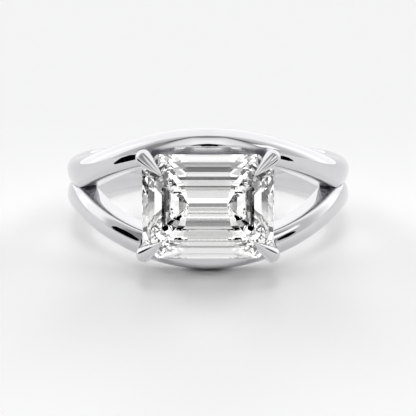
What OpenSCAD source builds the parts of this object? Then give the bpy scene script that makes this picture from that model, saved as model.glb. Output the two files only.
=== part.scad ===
// Split-shank ring with one emerald-cut stone in four pointed claws, lying on its side.
// The ring is drawn about its finger axis and then laid down, so that the lower strand
// and the back of the shank touch the surface. +Z is up and the stone faces -Y.

/* [Finger hole] */
// Inside diameter, which is the finger size
finger_d = 16.5; // [15:0.1:18]

/* [Shank and strands] */
// Height of the strands' crest above the finger
metal_h = 1.6; // [1.4:0.05:1.9]
// Depth of the groove and of the gap's edge below the crest
crease_drop = 0.45; // [0.3:0.05:0.6]
// How much further down the gap's wall its rounded edge reaches
gap_round = 0.35; // [0.1:0.05:0.4]
// Height above the finger at which the outer sides are widest
side_h = 0.35; // [0.25:0.05:0.5]
// How far the finger hole's edges are rounded off
edge_round = 0.15; // [0.1:0.05:0.25]
// Angle from the head to each end of the gap
gap_angle = 67; // [60:1:74]
// Width of the gap between the strands at the head
gap_w = 5.2; // [4.8:0.1:5.4]
// How full the gap's outline is, where 1 is a plain cosine wave
gap_fullness = 0.62; // [0.5:0.02:1]
// Width of the ring over both strands at the head
head_w = 9.2; // [8.8:0.1:9.6]
// Width of the shank beside the finger
side_w = 3.7; // [3.4:0.1:4.2]
// Width of the shank at the back
back_w = 2.8; // [2.6:0.1:3.4]
// Angle from the head at which the shank has come down to its side width
side_angle = 84; // [80:1:92]
// Angle from the head at which the groove has faded out
fade_angle = 125; // [110:1:150]

/* [Stone] */
// Length of the stone, across the finger
stone_l = 8.2; // [8:0.05:8.3]
// Width of the stone, along the finger
stone_w = 6.55; // [6.4:0.05:6.65]
// Length of the cut corner along each side
corner_cut = 0.95; // [0.8:0.05:1.1]
// Height of the girdle's upper edge above the finger
girdle_h = 3.5; // [3.4:0.05:3.7]
// Thickness of the girdle
girdle_t = 0.12; // [0.08:0.02:0.2]
// Depth of the pavilion, from the girdle down to the keel
pavilion_d = 2.6; // [2.5:0.05:2.7]
// Length of the keel at the bottom of the stone
keel_l = 2.4; // [2:0.1:2.8]

/* [Claws] */
// Diameter of a claw's leg
leg_d = 0.9; // [0.84:0.02:0.94]
// Diameter of the rounded shoulder on a leg
shoulder_d = 0.98; // [0.94:0.02:1.04]
// Distance of a shoulder from the middle, across the finger
shoulder_x = 4; // [3.9:0.02:4.1]
// Distance of a shoulder from the middle, along the finger
shoulder_z = 3.04; // [2.9:0.02:3.1]
// Height of a shoulder above the finger
shoulder_h = 3.3; // [3.2:0.05:3.6]
// How far a leg leans out from its foot to its shoulder, across the finger
lean_x = 0.16; // [0:0.02:0.3]
// How far a leg leans out from its foot to its shoulder, along the finger
lean_z = 0.24; // [0:0.02:0.3]
// Distance of a claw's tip from the middle, across the finger
tip_x = 2.92; // [2.8:0.02:3]
// Distance of a claw's tip from the middle, along the finger
tip_z = 2.14; // [2.1:0.02:2.3]
// Height of a claw's tip above the stone's table
tip_h = 0.04; // [0:0.02:0.1]
// Diameter of a claw's blunt tip
tip_d = 0.2; // [0.16:0.02:0.3]
// Gap between the stone and its seat in the claws
seat_gap = 0.03; // [0.02:0.01:0.05]

/* [Hidden] */
$fn = 64;
hole_sides = 180;
shoulder_sides = 28;
tip_sides = 12;

finger_r = finger_d / 2;
crest_r = finger_r + metal_h;
crease_r = crest_r - crease_drop;
side_r = finger_r + side_h;
// The swept metal reaches a little inside the finger hole, which is then bored through it.
// The bevel at the hole's edge runs on to that depth.
bore_stock = 0.2;
core_r = finger_r - bore_stock;
core_in = edge_round * (side_h + bore_stock) / side_h;
bore_l = 3 * head_w;

// Stations along the gap and along the rest of each half, and degrees between the points
// over a strand's back
gap_stations = 16;
band_stations = 26;
curve_step = 18;
// How full the ring's outline is in front, where 1 is a plain cosine wave
head_fullness = 0.9;
// Half of the gap's width at which its edges have their full rounding
round_from = 0.8;

function ease(t) = let (c = min(1, max(0, t))) c * c * (3 - 2 * c);
function mix(a, b, t) = a + (b - a) * t;
function total(v, n) = n == 0 ? 0 : v[n - 1] + total(v, n - 1);

// Half of the gap's width at an angle from the head
function gap_edge(a) =
    a >= gap_angle
    ? 0
    : gap_w / 2 * pow((1 + cos(180 * a / gap_angle)) / 2, gap_fullness);

// Half of the ring's width at an angle from the head: bowed in front, narrowing behind
function outer_edge(a) =
    a < side_angle
    ? mix(side_w, head_w, pow((1 + cos(180 * a / side_angle)) / 2, head_fullness)) / 2
    : mix(side_w, back_w, ease((a - side_angle) / (180 - side_angle))) / 2;

// Section of the upper strand at an angle from the head, as [z, r] from the gap round to
// the finger. Its back is two quarter ellipses, of which the gap's drops faster at its edge,
// and past the sides it fades into half of one rounded band.
function strand_section(a) =
    let (
        z0 = gap_edge(a),
        z1 = outer_edge(a),
        edge_drop = gap_round * ease(z0 / round_from),
        fade = ease((a - side_angle) / (fade_angle - side_angle))
    )
    [
        [z0, core_r],
        for (t = [0:curve_step:180])
            let (
                u = (1 - cos(t)) / 2,
                foot = t < 90 ? crease_r : side_r,
                drop = t < 90 ? edge_drop * pow(1 - sin(t), 3) : 0,
                strand = mix(foot, crest_r, sin(t)) - drop,
                band = mix(side_r, crest_r, sqrt(max(0, 1 - u * u)))
            )
            [mix(z0, z1, u), mix(strand, band, fade)],
        [z1 - core_in, core_r],
    ];

// Angles from the head, all the way round, with a station exactly at each end of the gap
half_angles = [
    for (i = [0:gap_stations - 1])
        gap_angle * i / gap_stations,
    for (i = [0:band_stations])
        mix(gap_angle, 180, i / band_stations),
];
half_n = len(half_angles);
ring_angles = [
    each half_angles,
    for (i = [1:half_n - 2])
        360 - half_angles[half_n - 1 - i],
];
ring_n = len(ring_angles);
section_n = len(strand_section(0));

function from_head(a) = a > 180 ? 360 - a : a;
function open_at(i) = gap_edge(from_head(ring_angles[i % ring_n])) > 0;

// A point at an angle from the head, a radius from the finger axis, and a height along it
function ring_point(a, r, z) = [r * sin(a), -r * cos(a), z];

function strand_points(side) = [
    for (a = ring_angles)
        for (p = strand_section(from_head(a)))
            ring_point(a, p[1], side * p[0]),
];

// Faces of one strand. Its gap side, the first strip of each section, is left out where
// the strands have joined.
function strand_faces(first, side) = [
    for (i = [0:ring_n - 1])
        for (j = [0:section_n - 1])
            if (j > 0 || open_at(i) || open_at(i + 1))
                let (
                    here = first + i * section_n,
                    next = first + (i + 1) % ring_n * section_n,
                    k = (j + 1) % section_n
                )
                side > 0
                ? [here + k, next + k, next + j, here + j]
                : [here + j, next + j, next + k, here + k],
];

module strands() {
    polyhedron(
        points = concat(strand_points(1), strand_points(-1)),
        faces = concat(strand_faces(0, 1), strand_faces(ring_n * section_n, -1))
    );
}

// Steps of the stone, each with how far it is set in from the last, and its height
IN = 0;
RISE = 1;
crown_steps = [
    [0.38, 0.37],
    [0.42, 0.27],
    [0.45, 0.22],
];
pavilion_steps = [
    [0.39, 0.54],
    [1.61, 1.21],
];
crown_n = len(crown_steps);
pavilion_n = len(pavilion_steps);
crown_h = total([for (s = crown_steps) s[RISE]], crown_n);
girdle_y = finger_r + girdle_h;
table_y = girdle_y + crown_h;
keel_y = girdle_y - girdle_t - pavilion_d;

// Eight corners of one level of the stone, set in from its outline, at a height y
function outline(set_in, y, grow) =
    let (
        l = stone_l / 2 - set_in + grow,
        w = stone_w / 2 - set_in + grow,
        c = corner_cut * (1 - set_in / stone_w) + grow * (2 - sqrt(2))
    )
    [
        for (q = [[l, w - c], [l - c, w], [c - l, w], [-l, w - c]])
            [q[0], -y, q[1]],
        for (q = [[-l, c - w], [c - l, -w], [l - c, -w], [l, c - w]])
            [q[0], -y, q[1]],
    ];

// Levels from the table down to the last step above the keel
function stone_levels(grow) = [
    for (i = [crown_n:-1:0])
        outline(
            total([for (s = crown_steps) s[IN]], i),
            girdle_y + total([for (s = crown_steps) s[RISE]], i) + grow,
            grow
        ),
    for (i = [0:pavilion_n])
        outline(
            total([for (s = pavilion_steps) s[IN]], i),
            girdle_y - girdle_t - total([for (s = pavilion_steps) s[RISE]], i) - grow,
            grow
        ),
];

// A level that would leave a hollow above the keel is bridged, because a wheel cuts flats
module stone_body(grow) {
    levels = stone_levels(grow);
    n = len(levels);
    right = 8 * n;
    left = right + 1;
    last = 8 * (n - 1);
    keel = [
        [keel_l / 2 + grow, -(keel_y - grow), 0],
        [-keel_l / 2 - grow, -(keel_y - grow), 0],
    ];
    hull()
        polyhedron(
            points = concat([for (level = levels) each level], keel),
            faces = [
                [for (j = [7:-1:0]) j],
                for (i = [0:n - 2])
                    for (j = [0:7])
                        let (k = (j + 1) % 8)
                        [8 * i + k, 8 * i + 8 + k, 8 * i + 8 + j, 8 * i + j],
                [last + 1, right, last],
                [last + 2, left, right, last + 1],
                [last + 3, left, last + 2],
                [last + 4, left, last + 3],
                [last + 5, left, last + 4],
                [last + 6, right, left, last + 5],
                [last + 7, right, last + 6],
                [last, right, last + 7],
            ]
        );
}

// Each leg starts inside its strand and leans out to its shoulder. A fillet of solder, a
// cone about the leg, ends a little above the strand's crest.
shoulder_y = finger_r + shoulder_h;
foot_x = shoulder_x - lean_x;
foot_y = sqrt(pow(finger_r + metal_h / 3, 2) - foot_x * foot_x);
crest_y = sqrt(crest_r * crest_r - foot_x * foot_x);
leg_run = [lean_x, lean_z, shoulder_y - foot_y];
leg_l = norm(leg_run);
fillet_d = 1.24;
fillet_over_crest = 0.3;
fillet_l = crest_y - foot_y + fillet_over_crest;
tip_y = table_y + tip_h;
tip_run = [tip_x - shoulder_x, tip_z - shoulder_z, tip_y - shoulder_y];

// A leg from its foot at the origin to its shoulder
module leg() {
    rotate([0, acos(leg_run[2] / leg_l), atan2(leg_run[1], leg_run[0])]) {
        cylinder(d = leg_d, h = leg_l);
        cylinder(d1 = fillet_d, d2 = leg_d, h = fillet_l);
    }
}

// The shoulder and the point that is pressed over the stone's crown
module claw_point() {
    hull() {
        sphere(d = shoulder_d, $fn = shoulder_sides);
        translate(tip_run)
            sphere(d = tip_d, $fn = tip_sides);
    }
}

// One claw, drawn with the finger's direction as Y and the head's as Z, then turned to it
module claw() {
    rotate([90, 0, 0])
        translate([shoulder_x, shoulder_z, shoulder_y]) {
            claw_point();
            translate(-leg_run)
                leg();
        }
}

module claws() {
    for (across = [0, 1])
        for (along = [0, 1])
            mirror([across, 0, 0])
                mirror([0, 0, along])
                    claw();
}

// Laying the ring down: it turns about X until the lowest point of the front half is as low
// as the lowest point of the back half, and then it is lifted onto the surface.
function laid(p, tilt) = [
    p[0],
    p[1] * cos(tilt) + p[2] * sin(tilt),
    p[2] * cos(tilt) - p[1] * sin(tilt)
];
function lowest(points, tilt) = min([for (p = points) laid(p, tilt)[2]]);
function tilt_of(front, back, tilt, tries) =
    tries == 0
    ? tilt
    : let (gap = lowest(back, tilt) - lowest(front, tilt))
      tilt_of(front, back, tilt + asin(gap / (2 * crest_r)), tries - 1);

start_tilt = 8;
tilt_tries = 8;
lower_side = strand_points(-1);
front_half = [for (p = lower_side) if (p[1] < 0) p];
back_half = [for (p = lower_side) if (p[1] >= 0) p];
lie_tilt = tilt_of(front_half, back_half, start_tilt, tilt_tries);
seat_z = -lowest(lower_side, lie_tilt);
back_reach = max([for (p = strand_points(1)) laid(p, lie_tilt)[1]]);
tip_reach = laid([tip_x, -tip_y, -tip_z], lie_tilt)[1] - tip_d / 2;
centre_y = (back_reach + tip_reach) / 2;

module lay_down() {
    translate([0, -centre_y, seat_z])
        rotate([-lie_tilt, 0, 0])
            children();
}

// Strands and claws, soldered as one, with the finger hole and the stone's seat cut out
module mounting() {
    color("gainsboro")
        lay_down()
            difference() {
                union() {
                    strands();
                    claws();
                }
                cylinder(r = finger_r, h = bore_l, center = true, $fn = hole_sides);
                stone_body(seat_gap);
            }
}

// Emerald-cut stone with stepped sides and cut corners, its table facing away from the finger
module stone() {
    color("aliceblue")
        lay_down()
            stone_body(0);
}

mounting();
stone();
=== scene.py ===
# %% [markdown]
# A split-shank ring with one emerald-cut diamond, lying on its side on a pale surface.
#
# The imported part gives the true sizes. This lesson keeps its stone as it is, puts a smooth
# skin of polished metal in place of the faceted mounting, and lights both as a jeweller's
# photographer would, with large white panels and a few narrow black ones.

import math

import bmesh
import bpy
import numpy as np
from mathutils import Matrix, Vector


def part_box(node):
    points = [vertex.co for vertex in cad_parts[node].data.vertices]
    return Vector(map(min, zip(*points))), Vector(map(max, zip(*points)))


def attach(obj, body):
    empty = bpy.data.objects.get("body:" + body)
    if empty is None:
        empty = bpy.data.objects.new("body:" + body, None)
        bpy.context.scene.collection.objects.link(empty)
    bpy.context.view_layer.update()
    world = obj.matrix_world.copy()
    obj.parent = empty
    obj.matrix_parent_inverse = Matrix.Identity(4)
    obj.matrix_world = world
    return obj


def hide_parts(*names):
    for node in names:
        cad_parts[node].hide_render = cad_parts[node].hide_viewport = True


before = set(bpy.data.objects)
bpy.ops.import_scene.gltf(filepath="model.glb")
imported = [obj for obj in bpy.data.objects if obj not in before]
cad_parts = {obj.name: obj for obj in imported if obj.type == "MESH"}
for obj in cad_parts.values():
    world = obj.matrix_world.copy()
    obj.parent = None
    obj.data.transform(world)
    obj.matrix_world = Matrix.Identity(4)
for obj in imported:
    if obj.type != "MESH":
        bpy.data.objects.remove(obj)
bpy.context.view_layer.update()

# %% [markdown]
# A ring is easiest to describe standing in its own axes: across the finger, along the
# finger, and out from the finger's middle towards the stone. It is drawn here in those
# axes, in millimetres, and then laid down. The ring lies on its lower strand and on the
# edge of its back, so it tips by about ten and a half degrees.

# %% The ring's own axes
MM = 0.001
TILT = math.radians(10.4857)
MIDDLE = np.array([0.0, 1.60829, 2.95807])


def turned(v):
    """A direction across, along and out, in the room's axes."""
    across, along, out = np.moveaxis(np.asarray(v, float), -1, 0)
    c, s = math.cos(TILT), math.sin(TILT)
    return np.stack([across, along * s - out * c, along * c + out * s], axis=-1)


def laid(p):
    """A point across, along and out, in millimetres, as a place in the room in metres."""
    return (turned(p) + MIDDLE) * MM


# Radii of the finger hole, a strand's crest, the crest's foot beside the gap, and the lip
FINGER_R = 8.25
CREST_R = FINGER_R + 1.6
CREASE_R = CREST_R - 0.45
SIDE_R = FINGER_R + 0.35
print("finger's middle in the room", laid([0, 0, 0]).round(5))

# %% [markdown]
# The camera stands in front of the stone and a little above the finger's own plane. Its
# place comes from fitting the shank's outline and the stone's edges in the photograph.

# %% Camera
# The picture's side, the focal length and the row of the finger's middle are in pixels
PICTURE = 416
FOCAL = 1421
RING_ROW = 179.5
DISTANCE = 100
PITCH = math.radians(9.45)
SENSOR = 36

ahead = turned([0, -math.sin(PITCH), -math.cos(PITCH)])
above = turned([0, math.cos(PITCH), -math.sin(PITCH)])
right = np.cross(ahead, above)
drop = (PICTURE / 2 - RING_ROW) * DISTANCE / FOCAL
place = (MIDDLE - ahead * DISTANCE - above * drop) * MM

camera_data = bpy.data.cameras.new("camera")
camera_data.sensor_width = SENSOR
camera_data.lens = SENSOR * FOCAL / PICTURE
camera_data.clip_start = 0.005
camera_data.clip_end = 10
camera = bpy.data.objects.new("camera", camera_data)
camera.matrix_world = Matrix.LocRotScale(
    Vector(place), Matrix(np.stack([right, above, -ahead], axis=1).tolist()), None
)
scene = bpy.context.scene
scene.collection.objects.link(camera)
scene.camera = camera
scene.view_settings.view_transform = "Standard"
print("camera looks down by", round(math.degrees(math.asin(-ahead[2])), 1), "degrees")

# %% [markdown]
# Each strand is one shape swept round the finger: a straight wall beside the gap, a back
# made of two quarter ellipses, and a bevel down to the finger hole. The sweep is worked
# out by formulas at hundreds of places, because polished metal shows every flat.

# %% Outline of the strands
# Angles from the head in degrees, and then widths in mm
GAP_END = 67
SIDE_AT = 84
FADE_AT = 125
GAP_W = 5.2
HEAD_W = 9.2
SIDE_W = 3.7
BACK_W = 2.8
# Powers under 1 keep the gap and the head wide for longer
GAP_POWER = 0.62
HEAD_POWER = 0.9


def ease(t):
    t = min(1, max(0, t))
    return t * t * (3 - 2 * t)


def mix(a, b, t):
    return a + (b - a) * t


def bow(a, end):
    """Falls from 1 at the head to 0 at an angle, as half a wave of a cosine."""
    return (1 + math.cos(math.pi * a / end)) / 2


def gap_edge(a):
    """Half the gap's width at an angle from the head."""
    return 0 if a >= GAP_END else GAP_W / 2 * bow(a, GAP_END) ** GAP_POWER


def outer_edge(a):
    """Half the ring's width at an angle from the head."""
    if a < SIDE_AT:
        return mix(SIDE_W, HEAD_W, bow(a, SIDE_AT) ** HEAD_POWER) / 2
    return mix(SIDE_W, BACK_W, ease((a - SIDE_AT) / (180 - SIDE_AT))) / 2


print("ring's width in mm at the head, side and back",
      [round(2 * outer_edge(a), 2) for a in (0, SIDE_AT, 180)])

# %% [markdown]
# The goldsmith files the wall beside the gap nearly straight and polishes its outer edge
# round. The back of the strand rises to a crest and falls to a thin lip over the finger
# hole. A bevelled curve could not do this, since the section changes all the way round,
# so each station gets its own outline from the same formula.

# %% Section of one strand
# In mm: two heights on the gap's wall, the lip's bevel, how much the wall's outer edge is
# rounded off, and half the width of the gap from which that rounding is full
WALL_FOOT = 0.04
WALL_TOP = 0.45
BEVEL = 0.15
GAP_ROUND = 0.35
ROUND_FROM = 0.8


def strand_section(a):
    """Points along and out, from the gap's wall round to the finger hole."""
    z0, z1 = gap_edge(a), outer_edge(a)
    edge_drop = GAP_ROUND * ease(z0 / ROUND_FROM)
    fade = ease((a - SIDE_AT) / (FADE_AT - SIDE_AT))
    points = [(z0, FINGER_R), (z0, FINGER_R + WALL_FOOT), (z0, FINGER_R + WALL_TOP)]
    for t in np.radians(np.arange(0, 180.1, 5)):
        u = (1 - math.cos(t)) / 2
        foot = CREASE_R if t < math.pi / 2 else SIDE_R
        drop = edge_drop * (1 - math.sin(t)) ** 3 if t < math.pi / 2 else 0
        strand = mix(foot, CREST_R, math.sin(t)) - drop
        band = mix(SIDE_R, CREST_R, math.sqrt(max(0, 1 - u * u)))
        points.append((mix(z0, z1, u), mix(strand, band, fade)))
    for t in np.radians(np.arange(18, 90.1, 18)):
        points.append((z1 - BEVEL * (1 - math.cos(t)), mix(SIDE_R, FINGER_R, math.sin(t))))
    points.append((mix(z0, z1 - BEVEL, 0.5), FINGER_R))
    return points


print("points round a strand", len(strand_section(0)))

# %% [markdown]
# The two strands are mirror images that meet behind the gap and close into one band. Where
# they meet they share their edge points and leave their walls out, so that the metal is one
# closed skin. The stations are closest in front, where the highlights bend most.

# %% Sweep both strands
STEPS = 181
WALL_FACES = 3

half = np.concatenate([np.linspace(0, GAP_END, STEPS), np.linspace(GAP_END, 180, STEPS)[1:]])
stations = np.concatenate([half, 360 - half[-2:0:-1]])


def strand_mesh(mesh, side):
    """Adds the strand on one side, 1 or -1, of the ring's middle plane."""
    rings = []
    for a in stations:
        from_head = min(a, 360 - a)
        spin = math.radians(a)
        ring = []
        for along, out in strand_section(from_head):
            p = laid([out * math.sin(spin), side * along, out * math.cos(spin)])
            ring.append(mesh.verts.new(p))
        rings.append(ring)
    n = len(rings[0])
    joined = [gap_edge(min(a, 360 - a)) == 0 for a in stations]
    for i in range(len(stations)):
        k = (i + 1) % len(stations)
        here, there = rings[i], rings[k]
        for j in range(WALL_FACES if joined[i] and joined[k] else 0, n):
            quad = [here[j], here[(j + 1) % n], there[(j + 1) % n], there[j]]
            mesh.faces.new(quad[::-1] if side > 0 else quad)


metal = bmesh.new()
strand_mesh(metal, 1)
strand_mesh(metal, -1)
print("strand faces", len(metal.faces))

# %% [markdown]
# A claw is a round leg that ends in a ball, and a point that is pressed over the stone
# from that ball. Both are turned shapes, so each comes from a profile spun about a line.

# %% Turned shapes
# A radius smaller than this, in mm, closes the shape in one point
POINT_R = 1e-6


def turned_shape(mesh, start, end, profile, around=48):
    """Spins a profile of (distance from start, radius) about the line start to end."""
    axis = np.subtract(end, start)
    axis = axis / np.linalg.norm(axis)
    # Any direction that isn't nearly along the axis gives the first spoke
    first = np.cross(axis, [1, 0, 0] if abs(axis[0]) < 0.9 else [0, 1, 0])
    first = first / np.linalg.norm(first)
    second = np.cross(axis, first)
    angles = np.linspace(0, 2 * math.pi, around, endpoint=False)
    rows = []
    for s, r in profile:
        middle = np.add(start, axis * s)
        if r < POINT_R:
            rows.append([mesh.verts.new(laid(middle))])
            continue
        spokes = np.outer(np.cos(angles), first) + np.outer(np.sin(angles), second)
        rows.append([mesh.verts.new(p) for p in laid(middle + r * spokes)])
    for low, high in zip(rows, rows[1:]):
        for i in range(around):
            j = (i + 1) % around
            corners = [low[i % len(low)], low[j % len(low)],
                       high[j % len(high)], high[i % len(high)]]
            mesh.faces.new(list(dict.fromkeys(corners)))


# %% [markdown]
# A setter leaves the claw's shoulder full and files its end to a point like a grain of
# rice. The leg starts in a fillet of solder, and the point's radius falls slowly at first
# and quickest at its end.

# %% Profiles of a claw
# Sizes and places in mm, the places across, along and out
LEG_R = 0.45
BALL_R = 0.51
TIP_R = 0.09
FILLET_W = 0.17
FILLET_H = 1.47
SWELL_FROM = 2
BALL = np.array([4.0, 3.04, 11.55])
TIP = np.array([2.92, 2.14, 12.65])
FOOT = np.array([3.84, 2.8, 7.9])

leg_length = np.linalg.norm(BALL - FOOT)
leg_profile = [(0, 0), (0, LEG_R + FILLET_W)]
leg_profile += [(s, LEG_R + FILLET_W * (1 - s / FILLET_H) ** 1.6)
                for s in np.linspace(0.05, FILLET_H, 16)]
leg_profile += [(s, mix(LEG_R, BALL_R, ease((s - SWELL_FROM) / (leg_length - SWELL_FROM))))
                for s in np.linspace(1.6, leg_length, 14)]
leg_profile += [(leg_length + BALL_R * math.sin(t), BALL_R * math.cos(t))
                for t in np.radians(np.linspace(6, 90, 15))]
leg_profile[-1] = (leg_length + BALL_R, 0)

point_length = np.linalg.norm(TIP - BALL)
point_profile = [(-BALL_R * math.cos(t), BALL_R * math.sin(t))
                 for t in np.linspace(0, math.pi / 2, 18)]
point_profile += [(f * point_length, mix(BALL_R, TIP_R, f ** 1.3))
                  for f in np.linspace(0.05, 1, 20)]
point_profile += [(point_length + TIP_R * math.sin(t), TIP_R * math.cos(t))
                  for t in np.radians(np.linspace(15, 90, 6))]
point_profile[0], point_profile[-1] = (-BALL_R, 0), (point_length + TIP_R, 0)
print("claw leg", round(leg_length, 2), "mm, point", round(point_length, 2), "mm")

# %% [markdown]
# On the bench a bur cuts a notch in each claw for the stone's girdle and crown. Here the
# stone's own shape, grown by a hair, is subtracted from the claws, so they follow every
# facet under them without touching it.

# %% Four claws, with the stone's seat cut out of them
SEAT_GROWTH = 1.008
# Corners of the stone's facets nearer than this, in metres, are one corner
SAME_PLACE = 1e-7

claws = bmesh.new()
for across in (1, -1):
    for along in (1, -1):
        flip = np.array([across, along, 1])
        turned_shape(claws, FOOT * flip, BALL * flip, leg_profile)
        turned_shape(claws, BALL * flip, TIP * flip, point_profile)
bmesh.ops.recalc_face_normals(claws, faces=claws.faces)
claws_mesh = bpy.data.meshes.new("claws")
claws.to_mesh(claws_mesh)
claws.free()
claws_object = bpy.data.objects.new("claws", claws_mesh)
scene.collection.objects.link(claws_object)

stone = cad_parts["stone"]
seat_mesh = stone.data.copy()
stone_lo, stone_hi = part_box("stone")
stone_middle = (stone_lo + stone_hi) / 2
for v in seat_mesh.vertices:
    away = v.co - stone_middle
    v.co = stone_middle + away * SEAT_GROWTH
weld = bmesh.new()
weld.from_mesh(seat_mesh)
bmesh.ops.remove_doubles(weld, verts=weld.verts, dist=SAME_PLACE)
weld.to_mesh(seat_mesh)
weld.free()
seat = bpy.data.objects.new("seat_cutter", seat_mesh)
scene.collection.objects.link(seat)

cut = claws_object.modifiers.new("seat", "BOOLEAN")
cut.operation = "DIFFERENCE"
cut.solver = "EXACT"
cut.use_self = True
cut.object = seat
bpy.context.view_layer.update()
cut_mesh = bpy.data.meshes.new_from_object(
    claws_object.evaluated_get(bpy.context.evaluated_depsgraph_get())
)
bpy.data.objects.remove(claws_object)
bpy.data.objects.remove(seat)
print("claw faces after the cut", len(cut_mesh.polygons))

# %% [markdown]
# The legs are soldered through the strands, so strands and claws count as one piece. Smooth
# shading with a limit of thirty-five degrees keeps the lip, the walls' corners and the
# seats crisp, and lets the rest run like liquid.

# %% One piece of soldered metal
SHARP_FROM = math.radians(35)
# Points of the two strands nearer than this, in metres, are joined
SEAM = 1e-8

metal.from_mesh(cut_mesh)
bmesh.ops.remove_doubles(metal, verts=metal.verts, dist=SEAM)
loose = [v for v in metal.verts if not v.link_faces]
bmesh.ops.delete(metal, geom=loose, context="VERTS")
print("metal's volume in mm3, with the claws' feet counted twice",
      round(metal.calc_volume(signed=True) / MM ** 3))
for face in metal.faces:
    face.smooth = True
metal_mesh = bpy.data.meshes.new("polished_mounting")
metal.to_mesh(metal_mesh)
metal.free()
metal_mesh.set_sharp_from_angle(angle=SHARP_FROM)
mounting = bpy.data.objects.new("polished_mounting", metal_mesh)
scene.collection.objects.link(mounting)
print("mounting triangles", sum(len(p.vertices) - 2 for p in metal_mesh.polygons))

# %% [markdown]
# Shader nodes read well when their maths looks like maths. A wire holds one output socket,
# and adding or multiplying wires makes the Math nodes. Every other node comes from add(),
# which takes the node's type, its settings, and what goes into its sockets.

# %% Wires and nodes
class Wire:
    """One output socket of a node, with Python's arithmetic."""

    def __init__(self, graph, socket):
        self.graph, self.socket = graph, socket

    def maths(self, operation, *values):
        inputs = dict(enumerate((self, *values)))
        return self.graph.add("ShaderNodeMath", {"operation": operation}, inputs)

    def __add__(self, other):
        return self.maths("ADD", other)

    def __sub__(self, other):
        return self.maths("SUBTRACT", other)

    def __rsub__(self, other):
        return (self * -1).maths("ADD", other)

    def __mul__(self, other):
        return self.maths("MULTIPLY", other)

    def ramp(self, low, high):
        """Rises smoothly from 0 at low to 1 at high, or falls if high is the smaller."""
        if low > high:
            return 1 - self.ramp(high, low)
        return self.graph.add("ShaderNodeMapRange", {"interpolation_type": "SMOOTHSTEP"},
                              {"Value": self, "From Min": low, "From Max": high})


class Graph:
    """The node tree of a material or of the world, emptied down to its output."""

    def __init__(self, owner):
        owner.use_nodes = True
        self.tree = owner.node_tree
        self.tree.nodes.clear()

    def add(self, kind, settings=None, inputs=None, output=0):
        """A node of a kind, as the wire from one of its outputs if it has any."""
        node = self.tree.nodes.new(kind)
        for name, value in (settings or {}).items():
            setattr(node, name, value)
        for name, value in (inputs or {}).items():
            if isinstance(value, Wire):
                self.tree.links.new(value.socket, node.inputs[name])
            else:
                node.inputs[name].default_value = value
        return Wire(self, node.outputs[output]) if node.outputs else node


# %% [markdown]
# Polished metal has almost no look of its own: it shows the studio. Here the studio is
# painted on the sky by direction, as a table of cards. Azimuth 0 is in front of the stone
# and positive to the right. White panels give the broad highlights, and black flags the
# thin dark strokes that draw the edges of a bright ring on a bright ground. Only mirror
# rays see the cards. The floor is lit by a plain soft light, a little behind the ring.

# %% Directions in the studio
world = bpy.data.worlds.new("studio")
scene.world = world
sky = Graph(world)
to_sky = sky.add("ShaderNodeTexCoord")
axes = sky.add("ShaderNodeSeparateXYZ", inputs={0: to_sky})
x, y, z = (Wire(sky, axes.socket.node.outputs[i]) for i in range(3))
azimuth = x.maths("ARCTAN2", y * -1) * math.degrees(1)
elevation = z.maths("ARCSINE") * math.degrees(1)
aside = azimuth.maths("ABSOLUTE")


def between(value, low, high, soft):
    """1 where a wire lies between two values, and 0 outside them, with soft edges."""
    return value.ramp(low - soft, low + soft) * value.ramp(high + soft, high - soft)


# %% [markdown]
# The broad panel behind the ring brightens the tops of the strands. Two grey strips beside
# the camera and two overhead shape the soft grey bands along the crests.

# %% Cards of the studio
# Measured across by, from, to, lowest, highest, softness of the edge, brightness
CARDS = [
    (aside, 104, 180, -30, 60, 12, 1.32),
    (aside, 108, 122, -30, 44, 6, 1.6),
    (azimuth, -108, -86, 4, 48, 6, 1.35),
    (aside, -60, 40, 12, 68, 9, 1.08),
    (aside, -60, 20, 16, 50, 8, 1.32),
    (aside, 47, 61, 14, 78, 6, 0.13),
    (aside, 46, 68, 14, 46, 6, 0.36),
    (aside, -60, 70, 72, 84, 4, 0.3),
    (aside, -60, 62, 84, 120, 4, 0.3),
    (azimuth, 49, 73, 21, 36, 3, 1.5),
]


def painted(ground, cards):
    """The ground's brightness with each card laid over it in turn."""
    for across, low, high, lowest, highest, soft, level in cards:
        card = between(across, low, high, soft) * between(elevation, lowest, highest, soft)
        ground = ground + card * (level - ground)
    return ground


# The room is a light grey in front of the ring, and this much brighter behind it
ROOM = 0.72
ROOM_BEHIND = 0.55
round_metal = painted(aside.ramp(78, 110) * ROOM_BEHIND + ROOM, CARDS)
print("cards round the metal", len(CARDS))

# %% [markdown]
# A step-cut diamond shows its surroundings folded up by total reflection. A band of the
# stone goes dark where its facets happen to look at something dark. Its own table of cards
# was found by following rays from the camera through the stone, and trying cards until
# the dark bars, the white bars and the keel's line fell where the photograph has them.

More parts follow.
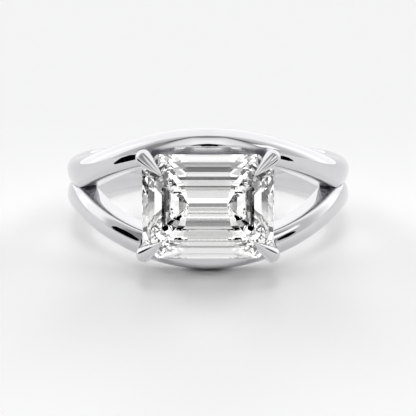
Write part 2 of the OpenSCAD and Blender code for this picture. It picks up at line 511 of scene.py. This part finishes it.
# %% Cards behind the stone
STONE_CARDS = [
    (aside, 33, 119, -17, 46, 1.5, 1.41),
    (aside, -9, 39, -2, 10, 1.5, 0.8),
    (aside, 36, 50, -11, 59, 1.5, 0.16),
    (aside, -9, 35, 9, 12, 1.5, 0.0),
    (aside, 2, 71, -18, 9, 1.5, 1.8),
    (aside, 7, 23, 0, 20, 1.5, 0.29),
    (aside, 78, 122, -63, -14, 1.5, 1.8),
    (aside, 103, 190, 0, 36, 1.5, 0.0),
    (aside, 34, 75, -45, -11, 1.5, 0.0),
    (aside, 74, 159, 5, 75, 1.5, 1.8),
    (aside, -9, 88, 14, 20, 1.5, 0.0),
    (aside, 164, 177, -30, 29, 1.5, 1.8),
    (aside, -9, 5, 54, 94, 1.5, 0.37),
    (aside, 110, 190, 59, 98, 1.5, 0.22),
    (aside, -9, 20, -47, -12, 1.5, 0.3),
    (aside, -9, 25, -35, -20, 1.5, 0.0),
    (aside, 83, 129, -14, 18, 1.5, 0.32),
    (aside, 14, 54, 14, 30, 1.5, 1.8),
    (aside, -9, 35, 79, 98, 1.5, 1.8),
    (aside, 50, 73, -6, 4, 1.5, 0.05),
    (aside, 119, 166, -74, -4, 1.5, 1.8),
    (aside, -9, 73, -29, -26, 1.5, 1.8),
    (aside, 115, 190, -33, -15, 1.5, 0.12),
    (aside, 126, 138, 13, 79, 1.5, 1.48),
    (aside, 10.7, 23, -3, 2.2, 0.3, 1.35),
    (aside, 5, 10.4, 1.2, 4, 0.1, 0.0),
]
# The stone's room is a light grey too, and this much brighter below the horizon
STONE_ROOM = 0.79
STONE_ROOM_BELOW = 0.37
round_stone = painted(elevation.ramp(1, -1) * STONE_ROOM_BELOW + STONE_ROOM, STONE_CARDS)
print("cards round the stone", len(STONE_CARDS))

# %% [markdown]
# The floor's soft shadow comes from light that reaches in low from behind the ring and from
# straight above. The directions and strengths are those that best repeat the photograph's
# greys round the ring.

# %% Lamps over the floor
# Azimuth, elevation, brightness
LAMPS = [
    (180, 20, 8.7),
    (140, 20, 6.9),
    (-140, 20, 6.9),
    (120, 30, 4.3),
    (-120, 30, 4.3),
    (180, 60, 3.9),
    (45, 45, 2.9),
    (-45, 45, 2.9),
    (0, 90, 5.1),
]
# A higher power makes each lamp smaller and the edges of its shadow sharper
NARROW = 50.0
from_lamps = 0.0
for turn, rise, level in LAMPS:
    turn, rise = math.radians(turn), math.radians(rise)
    facing = (x * (math.sin(turn) * math.cos(rise)) + y * (-math.cos(turn) * math.cos(rise))
              + z * math.sin(rise))
    from_lamps = facing.maths("MAXIMUM", 0.0).maths("POWER", NARROW) * level + from_lamps
print("lamps", len(LAMPS))

# %% [markdown]
# The lamps are for the matt floor. Mirror rays off the metal and off the stone's outside
# see the first table of cards, and rays that have come out through the stone see the
# second.

# %% Which rays see what
# What the camera sees past the board's far edge
BACKDROP = 0.9
path = sky.add("ShaderNodeLightPath").socket.node
mirror_ray = Wire(sky, path.outputs["Is Glossy Ray"])
through_ray = Wire(sky, path.outputs["Is Transmission Ray"])
camera_ray = Wire(sky, path.outputs["Is Camera Ray"])
strength = from_lamps + mirror_ray * (round_metal - from_lamps)
strength = strength + camera_ray * (BACKDROP - strength)
strength = strength + through_ray * (round_stone - strength)
light = sky.add("ShaderNodeBackground", inputs={"Color": (1, 1, 1, 1), "Strength": strength})
sky.add("ShaderNodeOutputWorld", inputs={"Surface": light})
print("nodes of the sky", len(sky.tree.nodes))

# %% [markdown]
# Every finish is a graph of nodes. Noise in the object's own coordinates stands for what
# no polish removes, and a Mix node turns it into a colour.

# %% Helpers for the finishes
def surface(name, finish):
    """A material from a Graph's last shader."""
    material = bpy.data.materials.new(name)
    graph = Graph(material)
    graph.add("ShaderNodeOutputMaterial", inputs={"Surface": finish(graph)})
    return material


def fine_noise(graph, scale, detail):
    """Noise from 0 to 1 over the object, its grain about one over scale of a metre."""
    where = graph.add("ShaderNodeTexCoord", output=3)
    return graph.add("ShaderNodeTexNoise", {"noise_dimensions": "3D"},
                     {"Vector": where, "Scale": scale, "Detail": detail})


def blend(graph, amount, first, second):
    """A colour between two others."""
    settings = {"data_type": "RGBA", "clamp_factor": True}
    return graph.add("ShaderNodeMix", settings, {0: amount, 6: first, 7: second}, output=2)


# %% [markdown]
# White gold is plated with rhodium and polished on a felt wheel. It mirrors like chrome
# but a little greyer and cooler. The wheel leaves faint swirls, which show as a slightly
# uneven gloss, and waves of less than a thousandth of a millimetre. The strip of each
# strand that lies under the stone's edge between two claws is darkened in colour, as
# painted shade from the stone above it, and is made a little rougher. It frames the stone
# with a grey line.

# %% Polished white gold, with painted shade beside the stone
# The painted shade strip's limits in mm, each from where it starts to fade to where it is
# full
SHADE_STRIP_ACROSS = (4.0, 3.6)
SHADE_STRIP_ALONG = (3.5, 3.15)
# Its lowest and highest place out from the finger's middle, and their softness
SHADE_STRIP_OUT = (9.0, 10.0, 0.15)
# The grey painted into that strip as shade under the stone's edge
PAINTED_SHADE_GREY = (0.3, 0.29, 0.31, 1)
GOLD_DARK = (0.65, 0.645, 0.662, 1)
GOLD_LIGHT = (0.69, 0.685, 0.698, 1)
WAVE_HEIGHT = 4e-7


def in_ring(graph, direction):
    """How far a point lies from the finger's middle along one of the ring's axes, in mm."""
    where = graph.add("ShaderNodeTexCoord", output=3)
    away = graph.add("ShaderNodeVectorMath", {"operation": "SUBTRACT"},
                     {0: where, 1: tuple(MIDDLE * MM)})
    dot = graph.add("ShaderNodeVectorMath", {"operation": "DOT_PRODUCT"},
                    {0: away, 1: tuple(turned(direction))}, output=1)
    return dot * (1 / MM)


def polished(graph):
    across = in_ring(graph, [1, 0, 0]).maths("ABSOLUTE")
    along = in_ring(graph, [0, 1, 0]).maths("ABSOLUTE")
    out = in_ring(graph, [0, 0, 1])
    # Painted shade: the strip under the stone's edge gets a darker colour, and a rougher
    # gloss as well
    shade_and_dull = across.ramp(*SHADE_STRIP_ACROSS) * along.ramp(*SHADE_STRIP_ALONG) * between(out, *SHADE_STRIP_OUT)
    waves = fine_noise(graph, 700.0, 2.0)
    swirls = fine_noise(graph, 5200.0, 4.0)
    colour = blend(graph, waves, GOLD_DARK, GOLD_LIGHT)
    colour = blend(graph, shade_and_dull, colour, PAINTED_SHADE_GREY)
    bump = graph.add("ShaderNodeBump", inputs={
        "Strength": 0.4, "Distance": WAVE_HEIGHT, "Height": waves + swirls * 0.05})
    return graph.add("ShaderNodeBsdfPrincipled", inputs={
        "Base Color": colour, "Metallic": 1.0,
        "Roughness": swirls * 0.03 + 0.02 + shade_and_dull * 0.25,
        "Normal": bump})


metal_mesh.materials.clear()
metal_mesh.materials.append(surface("polished white gold", polished))
print("metal's material", metal_mesh.materials[0].name)

# %% [markdown]
# A diamond is clear and bends light more than any other stone in common use. Its cut faces
# are perfectly smooth. Only the faintest warm green cloud in its colour keeps it from being
# flawless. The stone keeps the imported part's own flat facets, which need no rounding.

# %% Clear diamond
WATER_WHITE = (1, 1, 1, 1)
WARM_GREEN = (0.985, 1, 0.975, 1)
DIAMOND_IOR = 2.417


def clear(graph):
    cloud = fine_noise(graph, 500.0, 2.0)
    tint = blend(graph, cloud, WATER_WHITE, WARM_GREEN)
    return graph.add("ShaderNodeBsdfPrincipled", inputs={
        "Base Color": tint, "Roughness": 0.0, "IOR": DIAMOND_IOR, "Transmission Weight": 1.0})


stone.material_slots[0].material = surface("clear diamond", clear)
print("stone's slots", len(stone.material_slots), "facets", len(stone.data.polygons))

# %% [markdown]
# The ring lies on white board. The board glows by itself, which is painted light that lifts
# its shadows. The glow is stronger inside the ring, as a painted pool of light for what the
# polished wall throws back on it. It is taken away close to where the strand touches the
# board, which paints a contact shadow there. Its tone falls off slightly towards the back of
# the table, as painted shade. The cards are black velvet.

# %% Board with painted light, and velvet
# Places on the board and distances over it are in metres
# The painted contact shadow where the strand touches: its middle, half-width and half-depth
TOUCH_AT = -0.008
TOUCH_SIDE = 0.0021
TOUCH_DEPTH = 0.0011
# The painted pool of light inside the ring: its middle, its rise, its fall and its back edge
HOLE_AT = 0.0011
HOLE_RISES = (0.003, 0.0078)
HOLE_FALLS = (0.009, 0.0083)
HOLE_BACK = (0.0012, 0.0032)
# Where the painted shade towards the back of the board starts and where it is full
FAR_TONE = (-0.005, 0.03)
PAINTED_GLOW = 0.4
# The part of the painted glow that is left outside the ring
OPEN_SHARE = 0.3875
NO_LIGHT = (0, 0, 0, 1)
# The board's tone in front, and its darker tone at the back, which is painted shade
BOARD_NEAR = (0.882, 0.882, 0.882, 1)
BOARD_FAR = (0.822, 0.822, 0.826, 1)


def on_board(graph):
    """Where a point of the board lies, to the right and away from the camera."""
    place = graph.add("ShaderNodeTexCoord", output=3)
    axes = graph.add("ShaderNodeSeparateXYZ", inputs={0: place}).socket.node
    return Wire(graph, axes.outputs[0]), Wire(graph, axes.outputs[1])


def pale(graph):
    side, depth = on_board(graph)
    # Painted shade: the board darkens towards the back
    shade_behind = depth.ramp(*FAR_TONE)
    u, v = side * (1 / TOUCH_SIDE), (depth - TOUCH_AT) * (1 / TOUCH_DEPTH)
    # Painted contact shadow: the glow is taken away close to where the strand touches
    painted_contact_shadow = (u * u + v * v).maths("SQRT").ramp(1.0, 0.3)
    back = depth - HOLE_AT
    from_middle = (side * side + back * back).maths("SQRT")
    # A painted pool of light inside the ring, and an even painted glow outside it
    painted_pool = from_middle.ramp(*HOLE_RISES) * from_middle.ramp(*HOLE_FALLS)
    painted_pool = painted_pool * depth.ramp(*HOLE_BACK)
    painted_light = (painted_pool * (1 - OPEN_SHARE) + OPEN_SHARE) * (1 - painted_contact_shadow)
    grain = fine_noise(graph, 2500.0, 3.0)
    tone = blend(graph, shade_behind * 0.9 + grain * 0.1, BOARD_NEAR, BOARD_FAR)
    return graph.add("ShaderNodeBsdfPrincipled", inputs={
        "Base Color": tone, "Roughness": 0.7, "Specular IOR Level": 0.0,
        "Emission Color": blend(graph, painted_light, NO_LIGHT, tone), "Emission Strength": PAINTED_GLOW})


def black(graph):
    cloth = fine_noise(graph, 900.0, 2.0) * 0.004
    return graph.add("ShaderNodeBsdfPrincipled", inputs={
        "Base Color": blend(graph, cloth, NO_LIGHT, (1, 1, 1, 1)),
        "Specular IOR Level": 0.0})


print("the board's glow in the hole and outside it", PAINTED_GLOW, round(PAINTED_GLOW * OPEN_SHARE, 3))

# %% [markdown]
# The board reaches far enough to fill the picture. Rays that come out of the stone pass
# through it, because the second table of cards also holds what lies below.

# %% White board
def stage_sheet(name, corners, finish):
    """A flat sheet of the stage from its corners in mm."""
    mesh = bpy.data.meshes.new(name)
    mesh.from_pydata([tuple(MM * v for v in p) for p in corners], [],
                     [tuple(range(len(corners)))])
    mesh.materials.append(finish)
    sheet = bpy.data.objects.new(name, mesh)
    scene.collection.objects.link(sheet)
    return sheet


def standing(turn, away, outline):
    """An upright outline of (along the card, up) in mm, facing the ring at an azimuth."""
    turn = math.radians(turn)
    out = np.array([math.sin(turn), -math.cos(turn), 0])
    side = np.array([math.cos(turn), math.sin(turn), 0])
    return [out * away + side * u + np.array([0, 0, v]) for u, v in outline]


FLOOR_END = 2000
FLOOR_TOP = -0.02
floor = stage_sheet(
    "floor",
    [(-FLOOR_END, -FLOOR_END, FLOOR_TOP), (FLOOR_END, -FLOOR_END, FLOOR_TOP),
     (FLOOR_END, FLOOR_END, FLOOR_TOP), (-FLOOR_END, FLOOR_END, FLOOR_TOP)],
    surface("pale floor", pale),
)
floor.visible_transmission = False
print("board's sides in m", 2 * FLOOR_END * MM)

# %% [markdown]
# Two small black cards stand about eighteen millimetres from the ring's middle, one on each
# side. Both strands mirror them, which draws the four black strokes beside the stone. The
# photographer's own dark side, in front, gives the stroke on the upper crest and takes the
# glare off the stone's table. Only mirror rays see these cards.

# %% Black cards
# Outlines as (along the card, up) in mm
LEFT_CARD = [(0.9, 3.6), (1.4, 2.7), (6.9, 2.8), (7.6, 3.8), (7.4, 4.6), (5.6, 6.6),
             (4.0, 6.9), (2.2, 5.9)]
RIGHT_CARD = [(-6.1, 4.2), (-5.5, 3.2), (-3.0, 2.9), (-1.4, 3.4), (-1.5, 4.2),
              (-2.3, 5.3), (-3.8, 5.9), (-5.4, 4.9)]
CAMERA_CARD = [(-9, 1), (13, 1), (13, 18), (18, 20), (24, 24), (18, 30), (13, 33), (7, 37),
               (0, 42), (-7, 37), (-13, 33), (-18, 30), (-24, 24), (-18, 20), (-9, 17)]


def mirror_only(card):
    """Hides a sheet from all but mirror rays."""
    card.visible_camera = False
    card.visible_diffuse = False
    card.visible_shadow = False
    card.visible_transmission = False


card_black = surface("black card", black)
# Name, azimuth, distance in mm, outline
for name, turn, away, outline in [
    ("left_card", -66, 17.8, LEFT_CARD),
    ("right_card", 61, 18.8, RIGHT_CARD),
    ("camera_card", 0, 95, CAMERA_CARD),
]:
    mirror_only(stage_sheet(name, standing(turn, away, outline), card_black))
    print(name, "has", len(outline), "corners and stands", away, "mm away")

# %% [markdown]
# The lower strand bows out over its own shadow and would mirror it. A white strip of paper
# laid in front of the ring glows by itself and is seen only in mirrors, so it paints a
# bright reflection over the shadow's place in that mirror. It fades out at its edges, so
# that the strand shows no end of it.

# %% Glowing paper in front of the ring, a painted reflection
# In mm: half the paper's width, its front and back edges, and its height
PAPER_HALF, PAPER_FRONT, PAPER_BACK, PAPER_TOP = 5, -21, -7, -0.015
# In metres: where it fades at its sides, back and front
SIDE_FADE = (0.0046, 0.0034)
BACK_FADE = (-0.008, -0.0092)
FRONT_FADE = (-0.02, -0.016)
# How brightly the paper glows, as painted light
PAPER_PAINTED_LIGHT = 0.8


def paper(graph):
    side, depth = on_board(graph)
    reach = side.maths("ABSOLUTE").ramp(*SIDE_FADE)
    # Where the painted reflection shows, fading at the sides, back and front
    shown = reach * depth.ramp(*BACK_FADE) * depth.ramp(*FRONT_FADE)
    glow = graph.add("ShaderNodeEmission",
                     inputs={"Color": (1, 1, 1, 1), "Strength": PAPER_PAINTED_LIGHT})
    clear_edge = graph.add("ShaderNodeBsdfTransparent")
    return graph.add("ShaderNodeMixShader", inputs={0: shown, 1: clear_edge, 2: glow})


mirror_only(stage_sheet(
    "paper",
    [(-PAPER_HALF, PAPER_FRONT, PAPER_TOP), (PAPER_HALF, PAPER_FRONT, PAPER_TOP),
     (PAPER_HALF, PAPER_BACK, PAPER_TOP), (-PAPER_HALF, PAPER_BACK, PAPER_TOP)],
    surface("glowing paper", paper),
))
print("paper in mm", 2 * PAPER_HALF, "by", PAPER_BACK - PAPER_FRONT)

# %% [markdown]
# Light goes round many times inside the stone before it leaves. Past eleven reflections a
# real stone has scattered most of it, so the count stops there.

# %% Bounces
scene.cycles.max_bounces = 24
scene.cycles.glossy_bounces = 11
scene.cycles.transmission_bounces = 16
print("mirror bounces", scene.cycles.glossy_bounces)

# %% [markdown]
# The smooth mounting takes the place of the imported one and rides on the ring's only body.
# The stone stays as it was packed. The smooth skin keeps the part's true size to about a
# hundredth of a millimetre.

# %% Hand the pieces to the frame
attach(mounting, "root")
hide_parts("mounting")
